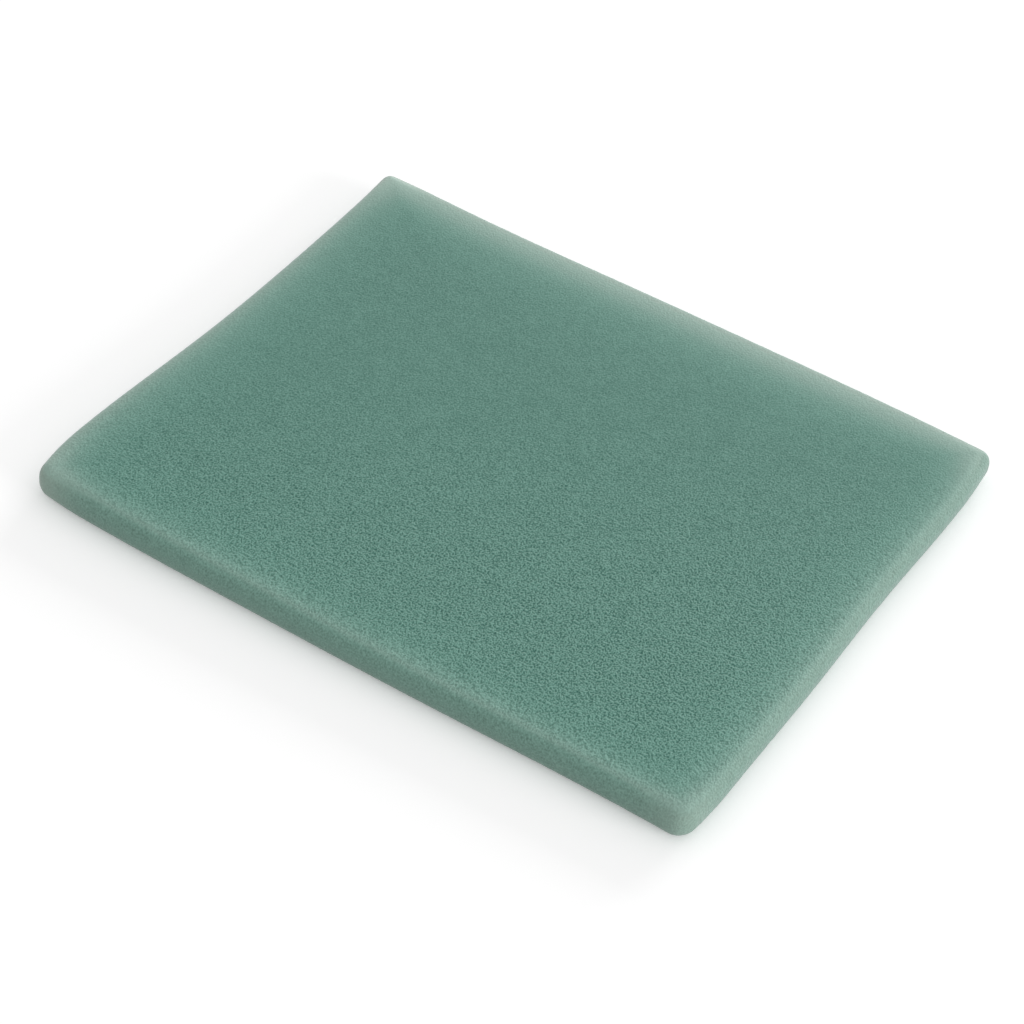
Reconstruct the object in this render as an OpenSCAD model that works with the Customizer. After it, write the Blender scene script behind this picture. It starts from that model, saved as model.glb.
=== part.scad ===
// Foam pad for flower work: one thin slab of soft, fine-celled foam. Its edges roll over at the
// top and underneath, its corners are rounded, and its sides bow and sway a little, as soft foam does.
// Millimetres. +Z is up and +X runs along the length. The origin is the middle of the flat
// underside, which is what the pad rests on.

/* [Slab] */
// Length from end to end, measured at the corners
slab_l = 150; // [110:1:220]
// Width from front to back, measured at the corners
slab_w = 125; // [80:1:170]
// Thickness of the foam
slab_t = 7; // [6:0.5:14]

/* [Corners and edges] */
// Radius of the two front corners, seen from above
front_corner_r = 6; // [1:0.5:14]
// Radius of the two back corners, seen from above
back_corner_r = 3.5; // [1:0.5:14]
// How far in from the side the top begins to roll over
top_roll_in = 3; // [0.5:0.5:8]
// How far down the side that roll reaches, as long as the side is tall enough
top_roll_down = 3; // [0.5:0.5:6]
// How far in from the side the underside lifts off what it rests on
base_roll_in = 3; // [0.5:0.5:5]
// How far up the side that lift reaches
base_roll_up = 3; // [0.5:0.5:4]

/* [Bowed and swaying sides] */
// How far the middle of the front side bulges out
front_bulge = 0.8; // [0:0.1:3]
// How far the middle of the left end is pulled in
left_waist = 1.4; // [0:0.1:4]
// How far the front side sways: out in its left half and in in its right half
front_sway = 0.2; // [0:0.1:2]
// How far the back side sways: out in its right half and in in its left half
back_sway = 0.5; // [0:0.1:2]
// How far the left end sways: in in its back half and out in its front half
left_sway = 0.4; // [0:0.1:2]

/* [Hidden] */

foam_colour = [0.37, 0.54, 0.49];
corner_steps = 8; // facets round each corner
side_steps = 14; // facets along each side
roll_steps = 6; // facets over each rolled edge
sharpest_r = 0.2; // radius left at a corner that the roll has used up
least_side = 0.4; // upright height left between the two rolls

// Sides and corners are counted round from the front: front, right, back, left. Corner i
// comes before side i. Pulls and sways are inwards, so a bulge is less than nothing.
corner_radii = [front_corner_r, front_corner_r, back_corner_r, back_corner_r];
corner_signs = [[-1, -1], [1, -1], [1, 1], [-1, 1]];
pulls = [-front_bulge, 0, 0, left_waist];
sways = [-front_sway, 0, -back_sway, left_sway];

function facing(angle) = [cos(angle), sin(angle)];
function side_angle(i) = 270 + 90 * i;
function turned(v, signs) = [v.x * signs.x, v.y * signs.y];

// The corner of a slab whose sides have moved in by some inset keeps its centre until the
// inset has used up its radius.
function radius_at(i, inset) = max(corner_radii[i % 4] - inset, sharpest_r);
function centre_at(i, inset) =
    let (r = inset + radius_at(i, inset))
    turned([slab_l / 2 - r, slab_w / 2 - r], corner_signs[i % 4]);
function on_corner(i, inset, angle) =
    centre_at(i, inset) + radius_at(i, inset) * facing(angle);

function corner_points(i, inset) = [
    for (step = [0:corner_steps])
        on_corner(i, inset, side_angle(i) - 90 + 90 * step / corner_steps)
];
function side_points(i, inset) = [
    for (step = [1:side_steps - 1])
        let (
            share = step / side_steps,
            start = on_corner(i, inset, side_angle(i)),
            end = on_corner(i + 1, inset, side_angle(i)),
            inward = pulls[i] * sin(180 * share) + sways[i] * sin(360 * share)
        )
        start * (1 - share) + end * share - inward * facing(side_angle(i))
];
function outline(inset) = [
    for (i = [0:3]) each concat(corner_points(i, inset), side_points(i, inset))
];

// The edge's section from the underside up to the top, as [distance in from the side, height].
// The side's height limits the rolls, the one at the base first.
roll_up = min(base_roll_up, slab_t / 2 - least_side);
roll_down = min(top_roll_down, slab_t - roll_up - least_side);
base_roll = [
    for (step = [0:roll_steps])
        let (turn = 90 * step / roll_steps)
        [base_roll_in * (1 - sin(turn)), roll_up * (1 - cos(turn))]
];
top_roll = [
    for (step = [0:roll_steps])
        let (turn = 90 * step / roll_steps)
        [top_roll_in * (1 - cos(turn)), slab_t - roll_down * (1 - sin(turn))]
];
section = concat(base_roll, top_roll);

// The bows leave the outline off centre, so the whole slab moves back over the origin.
widest = outline(0);
function middle_of(values) = (min(values) + max(values)) / 2;
middle = [middle_of([for (p = widest) p.x]), middle_of([for (p = widest) p.y])];

// One closed shell: a ring of points at each step of the section, skinned with triangles,
// and a flat face at each end
module foam_slab() {
    around = len(widest);
    last = len(section) - 1;
    points = [
        for (edge = section, p = outline(edge[0])) [each p - middle, edge[1]]
    ];
    underside = [for (k = [0:around - 1]) k];
    top = [for (k = [around - 1:-1:0]) last * around + k];
    skin = [
        for (ring = [0:last - 1], k = [0:around - 1])
            let (
                a = ring * around + k,
                b = ring * around + (k + 1) % around,
                above_a = a + around,
                above_b = b + around
            )
            each [[a, above_a, above_b], [a, above_b, b]]
    ];
    color(foam_colour)
        polyhedron(points, concat([underside, top], skin), convexity = 4);
}

foam_slab();
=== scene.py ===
import math

import bmesh
import bpy
import numpy as np
from mathutils import Matrix, Vector


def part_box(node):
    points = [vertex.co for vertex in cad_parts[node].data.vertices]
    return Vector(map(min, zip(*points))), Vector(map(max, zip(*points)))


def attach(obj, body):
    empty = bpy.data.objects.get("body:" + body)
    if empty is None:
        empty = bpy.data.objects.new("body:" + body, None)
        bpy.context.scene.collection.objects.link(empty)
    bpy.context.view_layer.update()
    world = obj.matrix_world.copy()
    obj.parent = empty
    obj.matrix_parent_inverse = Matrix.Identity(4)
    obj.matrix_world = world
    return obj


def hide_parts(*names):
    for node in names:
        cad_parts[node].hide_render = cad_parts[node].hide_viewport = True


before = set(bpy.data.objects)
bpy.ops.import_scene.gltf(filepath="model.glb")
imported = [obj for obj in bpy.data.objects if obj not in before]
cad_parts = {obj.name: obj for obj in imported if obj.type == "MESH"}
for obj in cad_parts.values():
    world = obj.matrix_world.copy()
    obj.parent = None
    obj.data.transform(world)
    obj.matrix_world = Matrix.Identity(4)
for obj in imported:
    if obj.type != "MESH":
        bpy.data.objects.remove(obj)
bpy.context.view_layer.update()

mm = 0.001


def deselectAll():
    bpy.ops.object.select_all(action="DESELECT")


def makeActive(ob):
    deselectAll()
    ob.select_set(True)
    bpy.context.view_layer.objects.active = ob


def applyModifier(ob, kind, **settings):
    makeActive(ob)
    mod = ob.modifiers.new(kind.lower(), kind)
    for name, value in settings.items():
        setattr(mod, name, value)
    bpy.ops.object.modifier_apply(modifier=mod.name)


def getPoints(ob):
    flat = np.empty(len(ob.data.vertices) * 3, np.float32)
    ob.data.vertices.foreach_get("co", flat)
    return flat.reshape(-1, 3).astype(float)


def setPoints(ob, points):
    ob.data.vertices.foreach_set("co", points.astype(np.float32).ravel())
    ob.data.update()


def addAttribute(ob, name, values):
    attribute = ob.data.attributes.new(name, "FLOAT", "POINT")
    attribute.data.foreach_set("value", values.astype(np.float32))


def readAttribute(ob, name):
    values = np.empty(len(ob.data.vertices), np.float32)
    ob.data.attributes[name].data.foreach_get("value", values)
    return values.astype(float)


def smoothStep(low, high, value):
    share = np.clip((value - low) / (high - low), 0, 1)
    return share * share * (3 - 2 * share)


# The foam pad, in millimetres. Its sides and corners are named as seen from above, with the
# front near you.
pad = {
    "evenGrid": 0.7,         # size of the mesh's squares before they are smoothed
    "coarserGrid": 10,       # they are cut this many times larger first
    "topRoll": 3.0,          # radius of the rolled edge round the top
    "baseRoll": 3.0,         # and round the underside
    "pillowReach": 12,       # how far in from the sides the top starts to fall
    "pillowFall": 0.3,       # how far it has fallen at the sides
    "corners": {             # radius seen from above, and how far the corner is pushed along x and y
        "frontLeft": (3.7, 1.15, 0.7),
        "frontRight": (4.0, -0.95, -0.1),
        "backRight": (2.5, -0.35, -0.1),
        "backLeft": (2.7, -0.25, -0.45),
    },
    "cornerReach": 8,        # how far from the corner that push is felt
    "bowRange": (0.3, 0.93),         # a side's bow takes hold between these shares of the way out to it
    "sides": {               # how far each side bows in, sways and ripples
        "front": (-0.7, -0.3, 0.05, -0.1),
        "right": (0.05, 0.15, -0.1, 0.2),
        "back": (0.15, -0.6, 0.1, -0.1),
        "left": (1.25, 0.5, -0.25, 0.1),
    },
    "cellSize": 1.0,         # from one pit of the foam to the next
    "pitDepth": 0.12,
    "backFade": 0.66,        # how much shallower the cells are towards the back of the top
    "fadeRange": (-60, 30),  # between which places from front to back they fade
    "fadeTurn": 27,          # degrees that the way they fade is turned to the left
    "cornerFade": 0.35,      # how much shallower they are at the corners
    "cornerFadePower": 0.4,  # the lower, the wider that spreads
    "sideCells": 0.5,        # how deep they are on the sides
    "sideCellsRange": (-1.5, 3.5),   # between which places over the rim they change to that
    # painted light: how pale each rim's painted glow is, where it starts to fade inwards and over how
    # far, then what is left of it on the side below, how much that grows upwards, and how far in from
    # the rim the side begins
    "paintedRimGlow": {
        "front": (0.38, 2.2, 4.5, 0.64, -0.2, 0),
        "right": (0.43, 1.0, 4.8, 0.62, 0.5, 0),
        "back": (0.8, 2.0, 6.3, 0.5, 0, 1.5),
        "left": (0.52, 1.5, 5.0, 0.64, 0, -2),
    },
    "paintedCornerGlow": {          # how much more painted glow of light each corner has, on top and on its sides
        "frontLeft": (0.28, 0.36),
        "frontRight": (0.2, 0.2),
        "backRight": (0.21, 0),
        "backLeft": (0.33, 0.12),
    },
    "cornerGlowAndFadeReach": 9.5,  # how far that painted glow reaches from the corner, and the fading of the cells there
    "rimBlend": 5,           # how gradually one rim's paleness turns into the next one's at a corner
    "topGlowRange": (-0.3, 1.9),        # between which places over the rim the top's painted glow takes over
    "sideToneRange": (-0.5, 1.5),    # and the top's colour takes over from the sides' tone of painted light
    "awayTone": 0.8,         # how much further in that painted side light reaches at the back and on the left
}

padLow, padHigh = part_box("foam_slab")
halfLength = (padHigh.x - padLow.x) / 2
halfWidth = (padHigh.y - padLow.y) / 2
thickness = padHigh.z - padLow.z

cornerSigns = {
    "frontLeft": (-1, -1),
    "frontRight": (1, -1),
    "backRight": (1, 1),
    "backLeft": (-1, 1),
}


def addSlab(name, low, high):
    deselectAll()
    bpy.ops.mesh.primitive_cube_add(size=1, location=(low + high) / 2, scale=high - low)
    ob = bpy.context.object
    ob.name = name
    ob.data.name = name
    bpy.ops.object.transform_apply(location=True, rotation=True, scale=True)
    return ob


# cuts every edge that runs along one axis into pieces of about the same length
def cutAlong(ob, axis, pieceLength):
    makeActive(ob)
    bpy.ops.object.mode_set(mode="EDIT")
    bpy.ops.mesh.select_mode(type="EDGE")
    bpy.ops.mesh.select_all(action="DESELECT")
    mesh = bmesh.from_edit_mesh(ob.data)
    longest = 0
    for edge in mesh.edges:
        run = edge.verts[1].co - edge.verts[0].co
        edge.select = abs(run[axis]) > 0.99 * run.length   # it runs along the axis
        if edge.select:
            longest = max(longest, run.length)
    bmesh.update_edit_mesh(ob.data)
    if longest > 1.5 * pieceLength:   # otherwise no cut would bring it nearer
        bpy.ops.mesh.subdivide(number_cuts=round(longest / pieceLength) - 1)
    bpy.ops.object.mode_set(mode="OBJECT")


def cornerOf(points, name):
    signX, signY = cornerSigns[name]
    return (points[:, 0] * signX >= 0) & (points[:, 1] * signY >= 0)


# how far in from the straight-sided outline each point lies, seen from above
def insideDistance(points):
    distance = np.zeros(len(points))
    for name in cornerSigns:
        radius = pad["corners"][name][0] * mm
        here = cornerOf(points, name)
        overX = np.abs(points[here, 0]) - (halfLength - radius)
        overY = np.abs(points[here, 1]) - (halfWidth - radius)
        outside = np.hypot(np.maximum(overX, 0), np.maximum(overY, 0))
        distance[here] = radius - outside - np.minimum(np.maximum(overX, overY), 0)
    return distance


def roundCorners(points):
    for name, (signX, signY) in cornerSigns.items():
        radius = pad["corners"][name][0] * mm
        centre = np.array([signX * (halfLength - radius), signY * (halfWidth - radius)])
        out = (points[:, :2] - centre) * (signX, signY)
        here = (out > 0).all(axis=1)
        length = np.hypot(out[here, 0], out[here, 1])
        kept = out[here].max(axis=1) / length
        points[here, :2] = centre + out[here] * kept[:, None] * (signX, signY)
    return points


# pulls the sharp rim at one height onto a quarter circle
def rollRim(points, rimHeight, radius):
    depth = insideDistance(points)
    drop = np.abs(points[:, 2] - rimHeight)
    here = (depth < radius) & (drop < radius)
    towards = np.stack([depth[here] - radius, drop[here] - radius], axis=1)
    towards *= radius / np.linalg.norm(towards, axis=1)[:, None]
    newDepth, newDrop = towards.T + radius
    step = 0.01 * mm   # small enough to feel which way the nearest side lies
    slopeX = insideDistance(points[here] + (step, 0, 0)) - insideDistance(points[here] - (step, 0, 0))
    slopeY = insideDistance(points[here] + (0, step, 0)) - insideDistance(points[here] - (0, step, 0))
    slope = np.maximum(np.hypot(slopeX, slopeY), 1e-9)
    points[here, 0] += (newDepth - depth[here]) * slopeX / slope
    points[here, 1] += (newDepth - depth[here]) * slopeY / slope
    points[here, 2] = rimHeight + np.sign(thickness / 2 - rimHeight) * newDrop
    return points


# the smooth step between two places given in millimetres
def betweenPlaces(key, value):
    low, high = pad[key]
    return smoothStep(low * mm, high * mm, value)


def sideWave(name, share):
    share = np.clip(share, 0, 1)
    return sum(size * mm * np.sin(math.pi * (k + 1) * share)
               for k, size in enumerate(pad["sides"][name]))


def bowSides(points):
    x, y, z = points.T
    alongFront = (x + halfLength) / (2 * halfLength)
    alongRight = (y + halfWidth) / (2 * halfWidth)
    nearX = smoothStep(*pad["bowRange"], np.abs(x) / halfLength)
    nearY = smoothStep(*pad["bowRange"], np.abs(y) / halfWidth)
    shiftX = nearX * np.where(x < 0, sideWave("left", 1 - alongRight), -sideWave("right", alongRight))
    shiftY = nearY * np.where(y < 0, sideWave("front", alongFront), -sideWave("back", 1 - alongFront))
    for name, (signX, signY) in cornerSigns.items():
        away = np.hypot(x - signX * halfLength, y - signY * halfWidth)
        near = np.exp(-(away / (pad["cornerReach"] * mm)) ** 2)
        shiftX = shiftX + near * pad["corners"][name][1] * mm
        shiftY = shiftY + near * pad["corners"][name][2] * mm
    return np.stack([x + shiftX, y + shiftY, z], axis=1)


def crownTop(points, fromEdge):
    fall = pad["pillowFall"] * mm * (1 - smoothStep(0, pad["pillowReach"] * mm, fromEdge))
    points[:, 2] -= fall * points[:, 2] / thickness
    return points


def fitToCad(points):
    low, high = points.min(axis=0), points.max(axis=0)
    share = (points - low) / (high - low)
    return np.array(padLow) + share * np.array(padHigh - padLow)


foamPad = addSlab("foam_pad", padLow, padHigh)
for axis in range(3):
    # twice, as one call makes 100 cuts at the most
    cutAlong(foamPad, axis, pad["coarserGrid"] * pad["evenGrid"] * mm)
    cutAlong(foamPad, axis, pad["evenGrid"] * mm)
print("slab cut into", len(foamPad.data.polygons), "squares")

points = roundCorners(getPoints(foamPad))
points = rollRim(points, thickness, pad["topRoll"] * mm)
points = rollRim(points, 0, pad["baseRoll"] * mm)
addAttribute(foamPad, "fromEdge", insideDistance(points))
setPoints(foamPad, points)
applyModifier(foamPad, "SUBSURF", levels=1, render_levels=1, subdivision_type="CATMULL_CLARK")
points = getPoints(foamPad)
fromEdge = readAttribute(foamPad, "fromEdge")
setPoints(foamPad, fitToCad(bowSides(crownTop(points, fromEdge))))
makeActive(foamPad)
bpy.ops.object.shade_smooth()
print("pad rounded and bowed,", len(foamPad.data.polygons), "faces")

# measured over the rolled edge: in from the rim on top, down the side below it
overEdge = fromEdge - (thickness - points[:, 2])
atCorner = {}
for name, (signX, signY) in cornerSigns.items():
    away = np.hypot(points[:, 0] - signX * halfLength, points[:, 1] - signY * halfWidth)
    atCorner[name] = np.exp(-(away / (pad["cornerGlowAndFadeReach"] * mm)) ** 2)

# the cells are deepest at the front of the top, shallower towards its back and on the sides
turn = math.radians(pad["fadeTurn"])
backwards = points[:, 1] * math.cos(turn) - points[:, 0] * math.sin(turn)
openness = 1 - pad["backFade"] * betweenPlaces("fadeRange", backwards)
openness *= 1 - pad["cornerFade"] * sum(atCorner.values()) ** pad["cornerFadePower"]
openness += (pad["sideCells"] - openness) * (1 - betweenPlaces("sideCellsRange", overEdge))
addAttribute(foamPad, "openness", openness)

# each rim gets its own painted glow of light, palest at the back, blended round the corners
inFrom = {
    "front": halfWidth + points[:, 1],
    "right": halfLength - points[:, 0],
    "back": halfWidth - points[:, 1],
    "left": halfLength + points[:, 0],
}
nearest = np.minimum.reduce(list(inFrom.values()))
belongs = {}
for name, distance in inFrom.items():
    belongs[name] = np.exp((nearest - distance) / (pad["rimBlend"] * mm))
share, rimStart, reach, sideShare, rise, shift = (
    sum(belongs[name] * pad["paintedRimGlow"][name][k] for name in inFrom) / sum(belongs.values())
    for k in range(6)
)
paintedGlow = share * np.exp(-np.maximum(overEdge - rimStart * mm, 0) / (reach * mm))
overRim = overEdge - shift * mm
onTop = betweenPlaces("topGlowRange", overRim)
# painted light and shade on the sides: their share of the glow changes from foot to top
sideShare *= 1 + rise * (2 * points[:, 2] / thickness - 1)
paintedGlow *= sideShare + (1 - sideShare) * onTop
# painted glow of light round each corner, on top and on its sides
for name, near in atCorner.items():
    topCornerGlow, sideCornerGlow = pad["paintedCornerGlow"][name]
    paintedGlow += near * (sideCornerGlow + (topCornerGlow - sideCornerGlow) * onTop)
addAttribute(foamPad, "paintedRimGlow", paintedGlow)
# the sides' tone of painted light reaches further over the back and left rims
turnedAway = (belongs["back"] + belongs["left"]) / sum(belongs.values())
overRim -= pad["awayTone"] * mm * turnedAway
addAttribute(foamPad, "onSide", 1 - betweenPlaces("sideToneRange", overRim))

# the weight is written in tenths, one call for all the points that share it
group = foamPad.vertex_groups.new(name="openness")
for level in range(11):
    chosen = np.flatnonzero(np.round(openness * 10) == level)
    group.add(chosen.tolist(), level / 10, "REPLACE")
cells = bpy.data.textures.new("foamCells", "VORONOI")
cells.noise_scale = pad["cellSize"] * mm
applyModifier(foamPad, "DISPLACE", texture=cells, texture_coords="LOCAL", direction="NORMAL",
              strength=pad["pitDepth"] * mm, mid_level=1, vertex_group="openness")
foamPad.vertex_groups.clear()
print("cells pressed in")

foam = bpy.data.materials.new("tealFoam")
foam.use_nodes = True
nodes, links = foam.node_tree.nodes, foam.node_tree.links
shader = nodes["Principled BSDF"]


def addNode(kind, **settings):
    node = nodes.new(kind)
    for name, value in settings.items():
        setattr(node, name, value)
    return node


def addMath(operation, first, second, clamp=False):
    node = addNode("ShaderNodeMath", operation=operation, use_clamp=clamp)
    for socket, value in zip(node.inputs, (first, second)):
        if isinstance(value, (int, float)):
            socket.default_value = value
        else:
            links.new(value, socket)
    return node.outputs[0]


# a pattern that runs from 0 to 1 is centred on 0 and made stronger or weaker
def aboutZero(pattern, strength):
    return addMath("MULTIPLY", addMath("SUBTRACT", pattern, 0.5), strength)


def mixColours(share, first, second):
    node = addNode("ShaderNodeMix", data_type="RGBA")
    for name, value in (("Factor_Float", share), ("A_Color", first), ("B_Color", second)):
        socket = next(s for s in node.inputs if s.identifier == name)
        if isinstance(value, (int, float, tuple)):
            socket.default_value = value
        else:
            links.new(value, socket)
    return next(s for s in node.outputs if s.identifier == "Result_Color")


# the foam's colours and texture; each scale is how many fit in a metre
finish = {
    "pit": (0.018, 0.134, 0.096, 1),   # deep in the cells: their own darker tone with painted shade
    "strand": (0.146, 0.339, 0.274, 1),
    "margin": (0.29, 0.62, 0.50, 1),   # where the painted glow of light begins
    "rim": (0.45, 0.61, 0.53, 1),      # where it is strongest
    "side": (0.46, 0.55, 0.48, 1),     # a greyer tone of painted light on the sides below
    "rimSpread": 2.5,        # how soon the margin's colour turns into the rim's
    "frontToBack": 0.72,     # the cells are drawn out from front to back, so fewer fit there
    "wobble": 0.2,           # how far the cells are pushed out of line, in millimetres
    "wobbleScale": 1400,
    "cellScale": 1500,
    "cellShare": 0.78,       # how strongly they show
    "wallPower": 0.3,        # the lower, the thinner the walls between them
    "wallRange": (0.9, 0.35),          # from dark to pale
    "grainScale": 3000,
    "grainShare": 2.55,
    "mottleScale": 250,      # broad soft patches
    "mottleShare": 0.27,
    "bumpStrength": 0.5,
    "bumpHeight": 0.15,      # in millimetres
    "roughness": 0.75,
    "sheen": 0.5,
    "sheenRoughness": 0.4,
}

place = addNode("ShaderNodeTexCoord").outputs["Object"]
wobble = addNode("ShaderNodeTexNoise")
wobble.inputs["Scale"].default_value = finish["wobbleScale"]
wobble.inputs["Detail"].default_value = 1
links.new(place, wobble.inputs["Vector"])
shift = addNode("ShaderNodeVectorMath", operation="MULTIPLY_ADD")
links.new(wobble.outputs["Color"], shift.inputs[0])
shift.inputs[1].default_value = (finish["wobble"] * mm,) * 3
links.new(place, shift.inputs[2])
stretch = addNode("ShaderNodeMapping")
stretch.inputs["Scale"].default_value = (1, finish["frontToBack"], 1)
links.new(shift.outputs[0], stretch.inputs["Vector"])

# thin pale walls between the cells
cell = addNode("ShaderNodeTexVoronoi", feature="DISTANCE_TO_EDGE")
cell.inputs["Scale"].default_value = finish["cellScale"]
links.new(stretch.outputs[0], cell.inputs["Vector"])
wall = addNode("ShaderNodeMapRange")
wall.inputs["From Min"].default_value, wall.inputs["From Max"].default_value = finish["wallRange"]
links.new(addMath("POWER", cell.outputs["Distance"], finish["wallPower"]), wall.inputs["Value"])
# and a finer grain over them
grain = addNode("ShaderNodeTexNoise")
grain.inputs["Scale"].default_value = finish["grainScale"]
grain.inputs["Detail"].default_value = 0
links.new(stretch.outputs[0], grain.inputs["Vector"])
mottle = addNode("ShaderNodeTexNoise")
mottle.inputs["Scale"].default_value = finish["mottleScale"]
links.new(place, mottle.inputs["Vector"])
walls = aboutZero(wall.outputs["Result"], finish["cellShare"])
grains = aboutZero(grain.outputs[0], finish["grainShare"])
mottles = aboutZero(mottle.outputs[0], finish["mottleShare"])
openCells = addNode("ShaderNodeAttribute", attribute_name="openness").outputs["Fac"]
paintedGlow = addNode("ShaderNodeAttribute", attribute_name="paintedRimGlow").outputs["Fac"]
# where the cells are closed the height stays at its average
height = addMath("ADD", addMath("MULTIPLY", addMath("ADD", walls, grains), openCells), 0.5)
# darker where the height sinks: the cells' own darker tone, with painted shade in their hollows
colour = mixColours(addMath("ADD", height, mottles), finish["pit"], finish["strand"])
# painted light: a pale glow along the rims and corners, greyer on the sides below
spread = addMath("MULTIPLY", paintedGlow, finish["rimSpread"], clamp=True)
paler = mixColours(spread, finish["margin"], finish["rim"])
onSide = addNode("ShaderNodeAttribute", attribute_name="onSide").outputs["Fac"]
paler = mixColours(onSide, paler, finish["side"])
colour = mixColours(paintedGlow, colour, paler)
links.new(colour, shader.inputs["Base Color"])
bump = addNode("ShaderNodeBump")
bump.inputs["Strength"].default_value = finish["bumpStrength"]
bump.inputs["Distance"].default_value = finish["bumpHeight"] * mm
links.new(height, bump.inputs["Height"])
links.new(bump.outputs["Normal"], shader.inputs["Normal"])
shader.inputs["Roughness"].default_value = finish["roughness"]
shader.inputs["Sheen Weight"].default_value = finish["sheen"]
shader.inputs["Sheen Roughness"].default_value = finish["sheenRoughness"]
foamPad.data.materials.clear()
foamPad.data.materials.append(foam)

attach(foamPad, "root")
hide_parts("foam_slab")
print("pad finished")

studio = {
    "floorSize": 6,          # metres
    "floorDrop": 0.2,        # millimetres below the pad
    "floorForCamera": (1, 1, 1, 1),
    "floorForLight": (0.8, 0.8, 0.8, 1),
    "floorGlow": 0.25,       # lifts the floor to white for the camera alone, and keeps the shadow
    "skyStrength": 0.6,      # as light, and white for the camera
    "lampDistance": 4.0,     # metres
    "lampHeight": 8,         # degrees above the floor
    "lampSize": 2.3,
    "rightPower": 100,       # watts
    "backPower": 132,
}

deselectAll()
bpy.ops.mesh.primitive_plane_add(size=studio["floorSize"], location=(0, 0, -studio["floorDrop"] * mm))
floor = bpy.context.object
floor.name = "studio_floor"
paper = bpy.data.materials.new("whitePaper")
paper.use_nodes = True
nodes, links = paper.node_tree.nodes, paper.node_tree.links
shader = nodes["Principled BSDF"]
seen = addNode("ShaderNodeLightPath").outputs["Is Camera Ray"]
tone = mixColours(seen, studio["floorForLight"], studio["floorForCamera"])
links.new(tone, shader.inputs["Base Color"])
shader.inputs["Emission Color"].default_value = (1, 1, 1, 1)
glow = addMath("MULTIPLY", seen, studio["floorGlow"])
links.new(glow, shader.inputs["Emission Strength"])
shader.inputs["Roughness"].default_value = 1
shader.inputs["Specular IOR Level"].default_value = 0
floor.data.materials.append(paper)

world = bpy.data.worlds.new("studio")
bpy.context.scene.world = world
world.use_nodes = True
nodes, links = world.node_tree.nodes, world.node_tree.links
sky = nodes["Background"]
sky.inputs["Color"].default_value = (1, 1, 1, 1)
seen = addNode("ShaderNodeLightPath").outputs["Is Camera Ray"]
links.new(addMath("MAXIMUM", seen, studio["skyStrength"]), sky.inputs["Strength"])
print("floor and sky in place")


def addLamp(name, azimuth, power):
    turn, lift = math.radians(azimuth), math.radians(studio["lampHeight"])
    place = Vector((math.cos(turn) * math.cos(lift), math.sin(turn) * math.cos(lift), math.sin(lift)))
    place *= studio["lampDistance"]
    deselectAll()
    bpy.ops.object.light_add(type="AREA", location=place)
    lamp = bpy.context.object
    lamp.name = name
    lamp.data.size = studio["lampSize"]
    lamp.data.energy = power
    lamp.rotation_euler = (-place).to_track_quat("-Z", "Y").to_euler()


addLamp("rightLight", 0, studio["rightPower"])
addLamp("backLight", 90, studio["backPower"])

# the camera: turned, lifted and tilted in degrees, the rest in millimetres
shot = {
    "azimuth": 27.31,
    "elevation": 42.89,
    "roll": 7.53,
    "distance": 578.6,
    "aside": -1.8,
    "up": -5.48,
    "lens": 102.17,
    "sensor": 36,
}


def addCamera():
    turn, lift, tilt = (math.radians(shot[k]) for k in ("azimuth", "elevation", "roll"))
    back = Vector((math.sin(turn) * math.cos(lift), -math.cos(turn) * math.cos(lift), math.sin(lift)))
    right = Vector((math.cos(turn), math.sin(turn), 0))
    up = back.cross(right)
    rolledRight = math.cos(tilt) * right + math.sin(tilt) * up
    rolledUp = -math.sin(tilt) * right + math.cos(tilt) * up
    place = back * shot["distance"] + rolledRight * shot["aside"] + rolledUp * shot["up"]
    deselectAll()
    bpy.ops.object.camera_add(location=place * mm)
    camera = bpy.context.object
    camera.rotation_euler = Matrix((rolledRight, rolledUp, back)).transposed().to_euler()
    camera.data.lens = shot["lens"]
    camera.data.sensor_width = shot["sensor"]
    bpy.context.scene.camera = camera


addCamera()
bpy.context.scene.view_settings.view_transform = "Standard"
print("lamps and camera in place")
